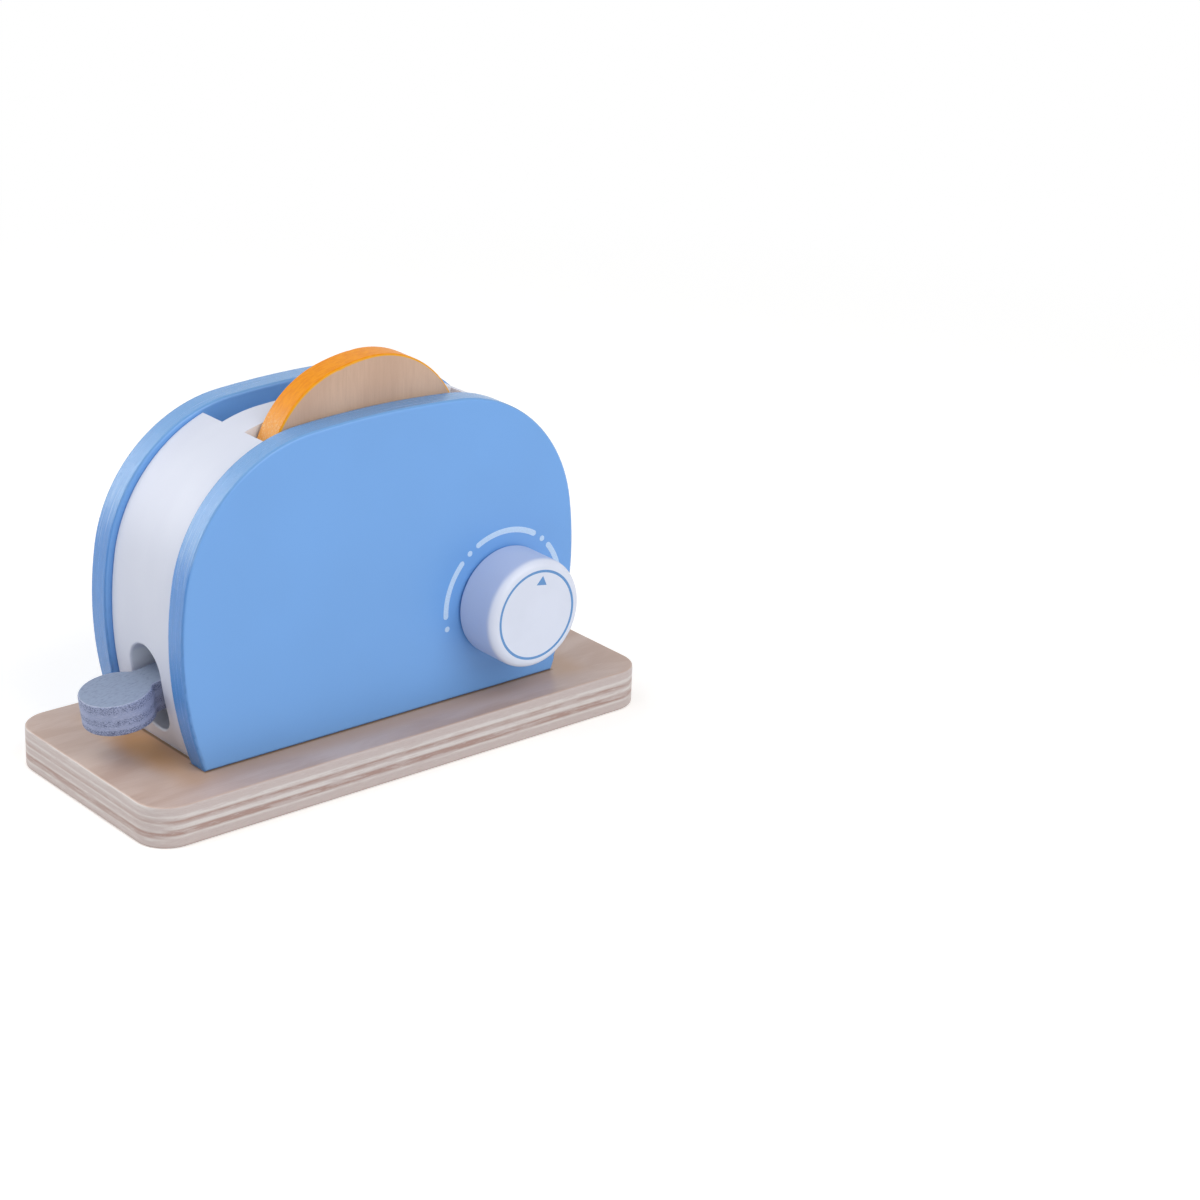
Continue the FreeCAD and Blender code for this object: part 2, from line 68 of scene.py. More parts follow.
BOARD_TOP = in_mm(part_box("base_board")[1])[2]
PANEL_LOW, PANEL_HIGH = [in_mm(corner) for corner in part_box("front_panel")]
KNOB_LOW, KNOB_HIGH = [in_mm(corner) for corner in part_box("knob")]
PANEL_FRONT, PANEL_BACK = PANEL_LOW[1], PANEL_HIGH[1]
KNOB_FRONT = KNOB_LOW[1]
KNOB_X = (KNOB_LOW[0] + KNOB_HIGH[0]) / 2
KNOB_Z = (KNOB_LOW[2] + KNOB_HIGH[2]) / 2
PIVOT_X, _, PIVOT_Z = in_mm(joint("lever_rock")["pos_m"])

# what the frame doesn't say: how the lever stands at rest, in degrees, and how far along X the panels and
# the white blocks reach where they stand on the board, in millimetres
LEVER_TILT = 8.4
PANEL_FOOT = 78.3
BLOCK_FOOT = 76.4


# ------------------------------------------------------------------ settings

def colour_setting(name, description, red, green, blue):
    """A colour as it is seen on a screen, from 0 to 255."""
    return bpy.props.FloatVectorProperty(
        name=name, description=description, subtype="COLOR_GAMMA", size=3, min=0.0, max=1.0,
        default=(red / 255, green / 255, blue / 255))


def length_setting(name, description, metres):
    """A length in metres."""
    return bpy.props.FloatProperty(name=name, description=description, unit="LENGTH", default=metres)


def angle_setting(name, description, degrees):
    """An angle, given in degrees."""
    return bpy.props.FloatProperty(
        name=name, description=description, subtype="ANGLE", default=math.radians(degrees))


def number_setting(name, description, value):
    """A plain number."""
    return bpy.props.FloatProperty(name=name, description=description, default=value)


class TOASTER_PG_wood(bpy.types.PropertyGroup):
    """Colours and grain of the bare and lacquered wood."""

    face_light: colour_setting("Board face, light", "Light figure of the base board's top", 208, 184, 171)
    face_dark: colour_setting("Board face, dark", "Dark figure of the base board's top", 194, 165, 149)
    # painted shade: brown on the board's top where shade falls at the panels' feet
    face_painted_shade: colour_setting("Board face, brown", "Lacquer gathered at the panels' feet", 196, 158, 128)
    # painted warm light: warm reflected light painted on the board under the lever
    face_painted_warm_light: colour_setting("Board face, warm", "Amber lacquer under the lever", 226, 168, 104)
    # painted contact shadow: thin dark line on the board along the body's foot
    contact_shadow_brown: colour_setting("Joint", "Lacquer and glue round the body's foot", 116, 84, 52)
    ply_light: colour_setting("Light ply", "Plies that show along their grain", 224, 216, 211)
    ply_middle: colour_setting("Middle ply", "Outer plies at the board's edge", 204, 189, 184)
    ply_dark: colour_setting("Dark ply", "Plies that show their end grain", 176, 146, 136)
    dowel: colour_setting("Bare dowel", "Birch dowel rod", 214, 184, 148)
    ply_waver: length_setting("Ply waver", "How far the plies wander up and down", 0.0006)


class TOASTER_PG_paint(bpy.types.PropertyGroup):
    """Colours and build of the paint."""

    blue: colour_setting("Blue", "Side panels", 116, 171, 235)
    blue_edge: colour_setting("Blue, edge", "Rims of the side panels", 84, 146, 217)
    # painted light: lighter colour where the rims face up
    blue_top_painted_light: colour_setting("Blue, shoulders", "Rubbed rims on top of the side panels", 112, 166, 220)
    # painted highlight: pale strokes where the highlight falls on the shoulders
    blue_painted_highlight: colour_setting("Blue, rubbed", "Pale strokes on the rubbed shoulders", 176, 208, 240)
    # painted light: a brighter white inside the slots, so the shaded walls look lit
    slot_white_painted_light: colour_setting("White, slots", "Walls inside the slots", 244, 248, 254)
    white: colour_setting("White", "End blocks and divider", 219, 223, 236)
    knob_white: colour_setting("Knob white", "Enamel of the knob", 226, 231, 246)
    # painted shade: darker, bluer colour round the knob's side, for its shade and the blue panel's
    # reflection
    knob_side_painted_shade: colour_setting("Knob white, side", "Enamel round the knob's side", 199, 208, 234)
    lever_grey: colour_setting("Lever grey", "Stained plywood of the lever", 138, 151, 174)
    lever_dark: colour_setting("Lever grey, dark", "Open grain of the lever's edge", 86, 96, 130)
    lever_edge: colour_setting("Lever grey, edge", "Plies of the lever's edge", 158, 167, 199)
    lever_light: colour_setting("Lever grey, light", "Rubbed fibres of the lever", 188, 194, 218)
    dial_mark: colour_setting("Dial marks", "Marks printed on the front panel", 200, 226, 255)
    knob_mark: colour_setting("Knob marks", "Ring and pointer printed on the knob", 101, 153, 209)
    ridge_height: length_setting("Ply ridges", "Height of the plies that show through the paint", 0.00018)
    peel_height: length_setting("Orange peel", "Height of the fine texture of the paint", 0.000012)


class TOASTER_PG_toast(bpy.types.PropertyGroup):
    """Colours of the slice of toast."""

    face_light: colour_setting("Face, light", "Light grain of the slice", 220, 186, 161)
    face_dark: colour_setting("Face, dark", "Dark grain of the slice", 207, 172, 148)
    crust: colour_setting("Crust", "Painted edge of the slice", 246, 156, 6)
    # painted highlight: pale spots on the crust's sides
    crust_painted_highlight: colour_setting("Crust, pale", "Thin spots in the paint of the edge", 254, 214, 156)
    crust_line: colour_setting("Crust line", "Thin paint where the edge meets the face", 236, 176, 60)


class TOASTER_PG_marks(bpy.types.PropertyGroup):
    """Sizes of the printed marks."""

    ring_radius: length_setting("Ring radius", "Middle of the ring on the knob", 0.0169)
    ring_width: length_setting("Ring width", "Width of the ring on the knob", 0.0010)
    pointer_radius: length_setting("Pointer radius", "Middle of the pointer from the knob's axis", 0.0133)
    pointer_height: length_setting("Pointer height", "Height of the triangle", 0.0036)
    pointer_width: length_setting("Pointer width", "Width of the triangle", 0.0048)
    pointer_angle: angle_setting("Pointer angle", "Where the pointer stands, from +X towards +Z", 80.3)
    dial_radius: length_setting("Dial radius", "Middle of the marks on the panel", 0.0268)
    dial_width: length_setting("Dial stroke", "Width of the marks on the panel", 0.0022)
    film: length_setting("Print thickness", "How far the print stands proud", 0.00005)


class TOASTER_PG_stage(bpy.types.PropertyGroup):
    """Studio light, floor and camera."""

    ambient: number_setting("Ambient light", "Strength of the light from all round", 0.45)
    back_lamp: number_setting("Back lamp", "Power of the lamp behind the lever's end, in watts", 9.2)
    front_lamp: number_setting("Front lamp", "Power of the lamp in front, in watts", 7.3)
    low_lamp: number_setting("Low lamp", "Power of the low lamp behind the lever's end, in watts", 9.0)
    floor_glow: number_setting("Floor glow", "Share of the floor's white that no shadow takes away", 0.34)
    camera_place: bpy.props.FloatVectorProperty(
        name="Camera", description="Where the camera stands", subtype="TRANSLATION", size=3,
        default=(-0.59048, -0.82588, 0.46403))
    heading: angle_setting("Heading", "Camera's turn from straight ahead towards +X", 40.9886)
    drop: angle_setting("Drop", "How far the camera looks down", 21.9700)
    roll: angle_setting("Roll", "Camera's turn about its own axis", 2.1865)
    lens: bpy.props.FloatProperty(
        name="Lens", description="Focal length for a 36 mm wide frame", unit="CAMERA", default=89.098)


# ------------------------------------------------------------------ shader arithmetic

class Value:
    """A shader socket that can be used in Python arithmetic."""

    def __init__(self, shader, socket):
        self.shader = shader
        self.socket = socket

    def __add__(self, other):
        return self.shader.math("ADD", self, other)

    __radd__ = __add__

    def __sub__(self, other):
        return self.shader.math("SUBTRACT", self, other)

    def __rsub__(self, other):
        return self.shader.math("SUBTRACT", other, self)

    def __mul__(self, other):
        return self.shader.math("MULTIPLY", self, other)

    __rmul__ = __mul__

    def __truediv__(self, other):
        return self.shader.math("DIVIDE", self, other)

    def __rtruediv__(self, other):
        return self.shader.math("DIVIDE", other, self)

    def __pow__(self, other):
        return self.shader.math("POWER", self, other)

    def __rpow__(self, other):
        return self.shader.math("POWER", other, self)

    def __abs__(self):
        return self.shader.math("ABSOLUTE", self)


class Nodes:
    """A node tree that is built from expressions."""

    def __init__(self, tree):
        self.tree = tree

    def feed(self, socket, value):
        """Link a value to a socket, or set the socket to a plain number or colour."""
        if isinstance(value, Value):
            self.tree.links.new(value.socket, socket)
        else:
            socket.default_value = value

    def node(self, kind, settings=None, sockets=None, output=0):
        """Add a node: its settings first, then the values or links of its sockets."""
        made = self.tree.nodes.new(kind)
        for name, value in (settings or {}).items():
            if name == "stops":
                self.set_stops(made.color_ramp, value)
            else:
                setattr(made, name, value)
        for key, value in (sockets or {}).items():
            self.feed(made.inputs[key], value)
        return Value(self, made.outputs[output]) if made.outputs else None

    @staticmethod
    def set_stops(ramp, stops):
        """Give a colour ramp its stops, as pairs of place and colour."""
        while len(ramp.elements) < len(stops):
            ramp.elements.new(1.0)
        for element, (place, colour) in zip(ramp.elements, stops):
            element.position = place
            element.color = colour

    def math(self, operation, *values):
        """A Math node."""
        return self.node("ShaderNodeMath", {"operation": operation}, dict(enumerate(values)))

    def position(self):
        """Place on the object at rest, in millimetres, as three values."""
        metres = self.node("ShaderNodeTexCoord", output="Object")
        scaled = self.node("ShaderNodeVectorMath", {"operation": "SCALE"}, {0: metres, 3: 1 / MM})
        return self.split(scaled)

    def facing(self):
        """Surface normal on the object at rest, as three values."""
        return self.split(self.node("ShaderNodeTexCoord", output="Normal"))

    def split(self, vector):
        """The three parts of a vector."""
        parts = self.node("ShaderNodeSeparateXYZ", sockets={0: vector}).socket.node
        return [Value(self, output) for output in parts.outputs]

    def join(self, x, y, z):
        """A vector from three parts."""
        return self.node("ShaderNodeCombineXYZ", sockets={0: x, 1: y, 2: z})

    def noise(self, x, y, z, detail=3.0, roughness=0.5, distortion=0.0):
        """Soft noise from 0 to 1 over a place."""
        return self.node(
            "ShaderNodeTexNoise", sockets={
                "Vector": self.join(x, y, z), "Scale": 1.0, "Detail": detail,
                "Roughness": roughness, "Distortion": distortion})

    def step(self, value, low, high):
        """Smooth step from 0 at low to 1 at high."""
        return self.node(
            "ShaderNodeMapRange", {"interpolation_type": "SMOOTHSTEP"},
            {"Value": value, "From Min": low, "From Max": high})

    def mix(self, factor, first, second):
        """Blend of two colours."""
        return self.node(
            "ShaderNodeMix", {"data_type": "RGBA"}, {0: factor, 6: first, 7: second}, output=2)

    def ramp(self, value, stops):
        """Colour from a ramp of stops."""
        return self.node("ShaderNodeValToRGB", {"stops": stops}, {0: value})

    def length(self, vector):
        """Length of a vector."""
        return self.node("ShaderNodeVectorMath", {"operation": "LENGTH"}, {0: vector}, output="Value")

    def seen_directly(self):
        """1 for rays from the camera and for those that gloss or glass sends on, otherwise 0."""
        camera, gloss, glass = [
            self.node("ShaderNodeLightPath", output=ray)
            for ray in ("Is Camera Ray", "Is Glossy Ray", "Is Transmission Ray")]
        return self.math("MAXIMUM", camera, self.math("MAXIMUM", gloss, glass))

    def blend(self, factor, first, second):
        """Blend of two shaders."""
        return self.node("ShaderNodeMixShader", sockets={0: factor, 1: first, 2: second})


class Shader(Nodes):
    """A Principled surface."""

    def __init__(self, name, constants=None):
        self.material = bpy.data.materials.new(name)
        self.material.use_nodes = True
        super().__init__(self.material.node_tree)
        self.surface = self.tree.nodes["Principled BSDF"]
        for socket, value in (constants or {}).items():
            self.surface.inputs[socket].default_value = value

    def bump(self, height):
        """Raise the surface by a height in millimetres."""
        normal = self.node("ShaderNodeBump", sockets={
            "Strength": 1.0, "Distance": MM, "Height": height}, output="Normal")
        self.feed(self.surface.inputs["Normal"], normal)

    def finish(self, colour, roughness):
        """Feed the surface its colour and roughness."""
        self.feed(self.surface.inputs["Base Color"], colour)
        self.feed(self.surface.inputs["Roughness"], roughness)
        return self.material


def linear(colour):
    """Shader colour of a screen colour."""
    parts = [c / 12.92 if c <= 0.04045 else ((c + 0.055) / 1.055) ** 2.4 for c in colour]
    return (*parts, 1.0)


def toned(colour, *factors):
    """Shader colour of a screen colour made darker or lighter, by one factor or by one for each part."""
    if len(factors) == 1:
        factors *= 3
    return linear([min(1.0, c * factor) for c, factor in zip(colour, factors)])


# ------------------------------------------------------------------ materials

def plywood_board(wood):
    """Lacquered birch plywood: broad figure on the faces, broken plies at the edges."""
    s = Shader("lacquered_birch_plywood", {"Coat Weight": 0.12, "Coat Roughness": 0.22})
    x, y, z = s.position()
    sideways, _, up = s.facing()
    figure = s.noise(x * 0.02, y * 0.06, 3.0, detail=3.0, distortion=0.8)
    fibre = s.noise(x * 0.09, y * 1.6, 1.0, detail=5.0, roughness=0.6)
    pores = s.step(s.noise(x * 0.25, y * 5.0, 5.0, detail=2.0), 0.62, 0.74)
    tone = s.step(figure * 0.8 + fibre * 0.2, 0.36, 0.62)
    face = s.mix(tone, linear(wood.face_light), linear(wood.face_dark))
    face = s.mix(pores * 0.16, face, toned(wood.face_dark, 0.7))

    # painted shade darkens the board round the body, painted warm light lies in the corner under the
    # lever, and a painted contact shadow runs along the body's foot
    out_x, out_y = abs(x), abs(y)
    shade_at_foot = s.step(out_y + figure * 6, 45, 36) * s.step(out_x, 96, 84)
    face = s.mix(shade_at_foot * 0.8, face, linear(wood.face_painted_shade))
    # painted warm light: a warm pool of reflected light in the corner under the lever
    corner_x, corner_y = -84, 1
    from_corner = (((x - corner_x) * 1.3) ** 2 + ((y - corner_y) * 0.6) ** 2) ** 0.5
    face = s.mix(s.step(from_corner + figure * 8, 22, 6) * 0.8, face, linear(wood.face_painted_warm_light))
    # painted contact shadow: a thin dark line on the board just outside the blocks' and the panels' feet
    block_foot_shadow = (
        s.step(out_x, BLOCK_FOOT + 1.0, BLOCK_FOOT + 0.1)
        * s.step(out_x, BLOCK_FOOT - 2.4, BLOCK_FOOT - 1.4)
        * s.step(out_y, 0.4 - PANEL_BACK, -PANEL_BACK))
    panel_foot_shadow = (
        s.step(out_x, PANEL_FOOT + 0.6, PANEL_FOOT)
        * s.step(out_y, 0.7 - PANEL_FRONT, 0.1 - PANEL_FRONT)
        * s.step(out_y, -PANEL_BACK - 0.3, 0.3 - PANEL_BACK))
    contact_shadow = s.math("MAXIMUM", block_foot_shadow * 0.85, panel_foot_shadow * 0.55)
    face = s.mix(contact_shadow, face, linear(wood.contact_shadow_brown))

    waver = s.noise(x * 0.03, y * 0.03, z * 0.1, detail=3.0) - 0.5
    height = (z + waver * (wood.ply_waver / MM)) / BOARD_TOP
    light, middle, dark = [linear(c) for c in (wood.ply_light, wood.ply_middle, wood.ply_dark)]
    brown = linear([(a + b) / 2 for a, b in zip(wood.ply_middle, wood.ply_dark)])
    long_side = s.ramp(height, [
        (0.00, brown), (0.07, middle), (0.21, middle), (0.27, light), (0.32, dark), (0.43, dark),
        (0.47, light), (0.54, light), (0.59, brown), (0.66, dark), (0.71, light), (0.77, light),
        (0.81, middle), (1.00, middle)])
    short_side = s.ramp(height, [
        (0.00, brown), (0.10, middle), (0.21, light), (0.25, brown), (0.36, dark), (0.41, light),
        (0.46, middle), (0.54, middle), (0.58, light), (0.62, brown), (0.71, middle), (0.76, light),
        (0.81, middle), (1.00, light)])
    edge = s.mix(s.step(abs(sideways), 0.35, 0.75), long_side, short_side)
    broken = s.noise(x * 0.07, y * 0.07, z * 0.7, detail=4.0, roughness=0.65)
    streaks = s.noise(x * 0.25, y * 0.25, z * 3.2, detail=4.0, roughness=0.65)
    edge = s.mix(s.step(broken, 0.44, 0.66) * 0.85, edge, middle)
    edge = s.mix(s.step(streaks, 0.55, 0.72) * 0.4, edge, dark)
    edge = s.mix(s.step(streaks, 0.46, 0.30) * 0.5, edge, light)
    at_edge = s.step(abs(up), 0.90, 0.55)

    s.bump((fibre * 0.02 - pores * 0.015) * (1 - at_edge) + streaks * 0.05 * at_edge)
    return s.finish(s.mix(at_edge, face, edge), 0.36 + fibre * 0.12 + at_edge * 0.2)


def blue_panel_paint(paint):
    """Satin blue paint, smooth on the faces, with the plies showing through at the edges."""
    s = Shader("satin_blue_paint", {"Coat Weight": 0.12, "Coat Roughness": 0.3})
    x, y, z = s.position()
    _, forward, up = s.facing()
    at_edge = s.step(abs(forward), 0.95, 0.6)
    ridges = s.noise(x * 0.02, y * 1.5, z * 0.02, detail=5.0, roughness=0.75)
    brush = s.noise(x * 0.16, y * 2.6, z * 0.16, detail=4.0, roughness=0.7)
    peel = s.noise(x * 0.9, y * 0.9, z * 0.9, detail=2.0)
    cloud = s.noise(x * 0.02, y * 0.02, z * 0.02, detail=2.0)
    face = s.mix(s.step(cloud, 0.3, 0.7), toned(paint.blue, 0.985), linear(paint.blue))

    # the rims: plies under the paint, painted light that makes them lighter on top, and painted highlight
    # in pale strokes along the shoulders
    edge_blue = paint.blue_edge
    rim = s.mix(s.step(ridges, 0.56, 0.40) * 0.25, linear(edge_blue), toned(edge_blue, 0.9))
    rim = s.mix(s.step(brush, 0.60, 0.78) * 0.25, rim, toned(edge_blue, 1.14))
    # painted light: the rims lighter where they face up
    rim = s.mix(s.step(up + brush * 0.2, 0.34, 0.62) * 0.8, rim, linear(paint.blue_top_painted_light))
    # painted highlight: pale strokes along the shoulders, where the highlight falls
    on_shoulder = s.step(up, 0.14, 0.28) * s.step(up, 0.66, 0.42)
    strokes = s.step(s.noise(x * 0.04, y * 1.7, z * 0.04, detail=4.0, roughness=0.7), 0.48, 0.62)
    rim = s.mix(on_shoulder * strokes * 0.42, rim, linear(paint.blue_painted_highlight))

    on_flat = s.step(abs(forward), 0.6, 0.2)
    plies = (ridges + brush * 0.4) * on_flat * (paint.ridge_height / MM)
    s.bump(plies + peel * (paint.peel_height / MM))
    streaky = (ridges * 0.50 + brush * 0.16 - 0.54) * at_edge
    return s.finish(s.mix(at_edge, face, rim), 0.40 + cloud * 0.06 + streaky)


def white_block_paint(paint):
    """Satin white paint with faint lengthwise brush marks."""
    s = Shader("satin_white_paint", {"Specular IOR Level": 0.4})
    x, y, z = s.position()
    _, forward, _ = s.facing()
    brush = s.noise(x * 0.05, y * 1.4, z * 0.03, detail=4.0, roughness=0.6)
    cloud = s.noise(x * 0.03, y * 0.05, z * 0.03, detail=2.0)
    peel = s.noise(x * 0.9, y * 0.9, z * 0.9, detail=2.0)
    full = s.step(cloud * 0.8 + brush * 0.2, 0.35, 0.65)
    outside = s.mix(full, toned(paint.white, 0.985, 0.985, 0.99), linear(paint.white))
    # painted light: faces that look along Y, the walls inside the slots, get a brighter white
    colour = s.mix(s.step(abs(forward), 0.8, 0.95), outside, linear(paint.slot_white_painted_light))
    s.bump(brush * 0.008 + peel * (paint.peel_height / MM))
    return s.finish(colour, 0.42 + brush * 0.08)


def knob_paint(paint):
    """Smooth white enamel on turned wood, with very faint turning lines."""
    s = Shader("knob_white_enamel", {"Coat Weight": 0.2, "Coat Roughness": 0.2})
    x, y, z = s.position()
    _, forward, _ = s.facing()
    turned = s.noise(0.0, y * 2.2, 0.0, detail=3.0)
    peel = s.noise(x * 0.8, y * 0.8, z * 0.8, detail=2.0)
    cloud = s.noise(x * 0.06, y * 0.06, z * 0.06, detail=2.0)
    face = s.mix(s.step(cloud, 0.35, 0.65), toned(paint.knob_white, 0.985), linear(paint.knob_white))
    # painted shade: the knob's side darker and bluer, as shade and the blue panel's reflection
    colour = s.mix(s.step(abs(forward), 0.6, 0.15), face, linear(paint.knob_side_painted_shade))
    s.bump(turned * 0.012 + peel * (paint.peel_height / MM * 0.8))
    return s.finish(colour, 0.34 + cloud * 0.06)


def lever_stain(paint):
    """Grey stained plywood: mottled face, speckled plies at the edge, rubbed rim."""
    s = Shader("grey_stained_plywood")
    x, y, z = s.position()
    tilt = math.radians(LEVER_TILT)
    cos, sin = math.cos(tilt), math.sin(tilt)
    along = (x - PIVOT_X) * cos + (z - PIVOT_Z) * sin
    across = (z - PIVOT_Z) * cos - (x - PIVOT_X) * sin
    sideways, _, upright = s.facing()
    up = upright * cos - sideways * sin
    at_edge = s.step(abs(up), 0.95, 0.6)
    rim = s.step(abs(up), 0.99, 0.90) * s.step(abs(up), 0.45, 0.75)
    mottle = s.noise(along * 0.5, y * 1.1, across, detail=5.0, roughness=0.7)
    cloud = s.noise(along * 0.06, y * 0.1, across * 0.1, detail=2.0)
    grey, dark, edge_grey, light = [
        linear(c) for c in (paint.lever_grey, paint.lever_dark, paint.lever_edge, paint.lever_light)]
    top = s.mix(s.step(mottle, 0.40, 0.62) * 0.4 + cloud * 0.2, grey, toned(paint.lever_grey, 1.1))
    top = s.mix(s.step(mottle, 0.46, 0.34) * 0.3, top, dark)

    # plies of open grain and pressed ones between them, with wavering borders, over a little more than
    # the lever's thickness
    waver = (s.noise(along * 0.12, y * 0.12, 2.0, detail=2.0) - 0.5) * 1.2
    open_grain, pressed = (0.0, 0.0, 0.0, 1.0), (1.0, 1.0, 1.0, 1.0)
    ply_build = 13
    plies = s.ramp((across + waver) / ply_build + 0.5, [
        (0.05, open_grain), (0.20, open_grain), (0.25, pressed), (0.31, pressed), (0.36, open_grain),
        (0.50, open_grain), (0.55, pressed), (0.68, pressed), (0.74, open_grain), (0.90, open_grain)])
    speckle = s.noise(along * 1.9, y * 1.9, across * 3.2, detail=3.0, roughness=0.7)
    fibre = s.noise(along * 0.5, y * 0.5, across * 4.0, detail=4.0, roughness=0.7)
    pitted = s.step(speckle + s.step(across, -2, -6) * 0.05, 0.49, 0.58) * (1 - plies * 0.8)
    edge = s.mix(pitted * 0.9, edge_grey, dark)
    edge = s.mix(s.step(fibre, 0.54, 0.66) * (0.3 + plies * 0.6), edge, light)
    colour = s.mix(at_edge, top, edge)
    colour = s.mix(rim * s.step(fibre, 0.36, 0.56) * 0.6, colour, light)
    s.bump(mottle * 0.05 - s.step(speckle, 0.50, 0.60) * (1 - plies) * at_edge * 0.05)
    return s.finish(colour, 0.60 + mottle * 0.16)


def toast_finish(toast):
    """Bare veneer with upright grain on the faces, orange paint round the edge."""
    s = Shader("toast_veneer_and_crust", {"Specular IOR Level": 0.14})
    x, y, z = s.position()
    sideways, forward, _ = s.facing()
    figure = s.noise(x * 0.06, y * 0.2, z * 0.02, detail=3.0, distortion=0.5)
    fibre = s.noise(x * 1.5, y * 1.5, z * 0.09, detail=5.0, roughness=0.6)
    pores = s.step(s.noise(x * 4.0, y * 4.0, z * 0.25, detail=2.0), 0.62, 0.76)
    tone = s.step(figure * 0.7 + fibre * 0.3, 0.34, 0.66)
    face = s.mix(tone, linear(toast.face_light), linear(toast.face_dark))
    face = s.mix(pores * 0.16, face, toned(toast.face_dark, 0.75))

    drag = s.noise(x * 0.3, y * 1.2, z * 0.3, detail=4.0, roughness=0.65)
    spots = s.noise(x * 1.3, y * 1.3, z * 1.3, detail=3.0, roughness=0.6)
    crust = s.mix(s.step(drag, 0.36, 0.62), toned(toast.crust, 0.96, 0.9, 0.8), linear(toast.crust))
    # painted highlight: the crust's sides paler, with pale spots, where the highlight falls
    rubbed = s.step(abs(sideways), 0.70, 0.90)
    crust = s.mix((s.step(spots, 0.50, 0.62) * 0.4 + 0.22) * rubbed, crust, linear(toast.crust_painted_highlight))
    off_face = s.step(abs(forward), 0.992, 0.95)
    line = off_face * s.step(abs(forward), 0.62, 0.85)
    colour = s.mix(off_face, face, crust)
    colour = s.mix(line * 0.8, colour, linear(toast.crust_line))
    s.bump(fibre * 0.02 * (1 - off_face) + spots * 0.035 * off_face)
    return s.finish(colour, 0.58 - off_face * 0.22 + fibre * 0.08)


def bare_dowel_wood(wood):
    """Bare birch rod, a little paler and darker in turns."""
    s = Shader("bare_birch_dowel")
    x, y, z = s.position()
    grain = s.noise(x * 1.6, y * 0.12, z * 1.6, detail=4.0, roughness=0.6)
    colour = s.mix(s.step(grain, 0.38, 0.64), linear(wood.dowel), toned(wood.dowel, 0.84))
    s.bump(grain * 0.03)
    return s.finish(colour, 0.6 + grain * 0.1)


def dark_nylon():
    """Moulded dark washer."""
    s = Shader("dark_nylon")
    x, y, z = s.position()
    grain = s.noise(x * 1.5, y * 1.5, z * 1.5, detail=3.0)
    colour = s.mix(grain, (0.018, 0.022, 0.035, 1.0), (0.035, 0.04, 0.055, 1.0))
    s.bump(grain * 0.01)
    return s.finish(colour, 0.45 + grain * 0.1)


def zinc_steel():
    """Zinc-plated steel of the screws."""
    s = Shader("zinc_plated_steel", {"Metallic": 1.0})
    x, y, z = s.position()
    grain = s.noise(x * 2.0, y * 2.0, z * 2.0, detail=3.0)
    colour = s.mix(grain, (0.50, 0.50, 0.52, 1.0), (0.66, 0.66, 0.67, 1.0))
    s.bump(grain * 0.01)
    return s.finish(colour, 0.28 + grain * 0.14)


def printed_ink(name, colour):
    """Pad-printed mark with a slightly uneven film."""
    s = Shader(name)
    x, y, z = s.position()
    film = s.noise(x * 1.8, y * 1.8, z * 1.8, detail=3.0)
    shade = s.mix(s.step(film, 0.35, 0.65), toned(colour, 0.96), linear(colour))
    return s.finish(shade, 0.40 + film * 0.1)


# ------------------------------------------------------------------ mesh helpers

# points of a mesh closer than this become one, in millimetres
MERGE_DISTANCE = 1e-5
# how finely a printed stroke is divided along its arc
FEWEST_STEPS = 16
STEPS_PER_DEGREE = 1.5


def dress(material, *nodes):
    """Give carried-over nodes a material."""
    for node in nodes:
        slot = frame["nodes"][node].material_slots[0]
        slot.link = "OBJECT"
        slot.material = material


def new_piece(name, mesh, material, body):
    """Object from a bmesh whose measures are millimetres, riding on a body."""
    bmesh.ops.remove_doubles(mesh, verts=mesh.verts, dist=MERGE_DISTANCE)
    bmesh.ops.recalc_face_normals(mesh, faces=mesh.faces)
    bmesh.ops.scale(mesh, vec=(MM, MM, MM), verts=mesh.verts)
    data = bpy.data.meshes.new(name)
    mesh.to_mesh(data)
    mesh.free()
    data.materials.append(material)
    piece = bpy.data.objects.new(name, data)
    bpy.context.scene.collection.objects.link(piece)
    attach(piece, body)


def skin_rings(mesh, rings):
    """Quads between closed rings of points of equal count."""
    rows = [[mesh.verts.new(point) for point in ring] for ring in rings]
    count = len(rows[0])
    for low, high in zip(rows, rows[1:]):
        for i in range(count):
            j = (i + 1) % count
            mesh.faces.new((low[i], low[j], high[j], high[i]))
    return rows


def print_section(centre, radius, angle, reach, lip, surface, film):
    """Points across a printed stroke: a bevelled film whose foot is just inside a surface facing -Y."""
    profile = (
        (-reach, -film), (-reach, 0), (lip - reach, film),
        (reach - lip, film), (reach, 0), (reach, -film))
    return [
        (centre[0] + (radius + offset) * math.cos(angle), surface - rise,
         centre[1] + (radius + offset) * math.sin(angle))
        for offset, rise in profile]


def printed_stroke(mesh, centre, radius, start, end, width, surface, film):
    """Arc-shaped stroke with round ends, lying on a surface that faces -Y."""
    half = width / 2
    ends = half / radius
    first, last = start - ends, end + ends
    steps = max(FEWEST_STEPS, int(math.degrees(last - first) * STEPS_PER_DEGREE))
    rings = []
    for i in range(steps + 1):
        # points crowd together at both ends, where the stroke rounds off
        share = 0.5 - 0.5 * math.cos(math.pi * i / steps)
        angle = first + (last - first) * share
        beyond = max(first + ends - angle, angle - last + ends, 0.0) * radius
        reach = math.sqrt(max(half * half - beyond * beyond, 0.0))
        lip = min(film * 1.5, reach)
        rings.append(print_section(centre, radius, angle, reach, lip, surface, film))
    skin_rings(mesh, rings)


# ------------------------------------------------------------------ operators

